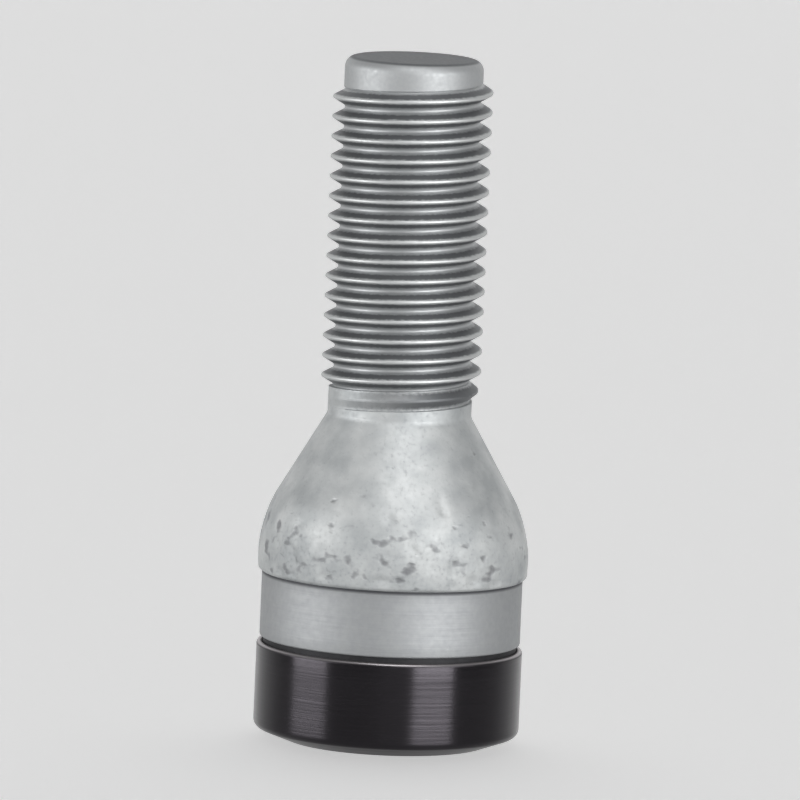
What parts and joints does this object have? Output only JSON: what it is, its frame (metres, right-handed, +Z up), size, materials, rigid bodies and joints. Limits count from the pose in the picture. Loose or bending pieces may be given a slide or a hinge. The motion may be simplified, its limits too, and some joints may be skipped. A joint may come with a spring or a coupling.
{
  "type": "locking wheel bolt",
  "caption": "Cone-seat wheel bolt with a fine-threaded shank and a thin dark cap over the head; a closed wave-shaped groove in its end face takes a matching key.",
  "frame": {"origin": "centre of the head's end face, on the surface that the bolt stands on", "axes": "+Z runs up the bolt's axis from the head to the threaded tip; +X and +Y are level"},
  "size_m": [0.0203, 0.0202, 0.0517],
  "materials": {
    "coated_steel": "matt silver-grey zinc-flake coat over forged and rolled steel",
    "black_chrome": "glossy black chrome"
  },
  "bodies": {
    "root": {"bolt_body": "coated_steel", "head_cap": "black_chrome"}
  },
  "joints": []
}
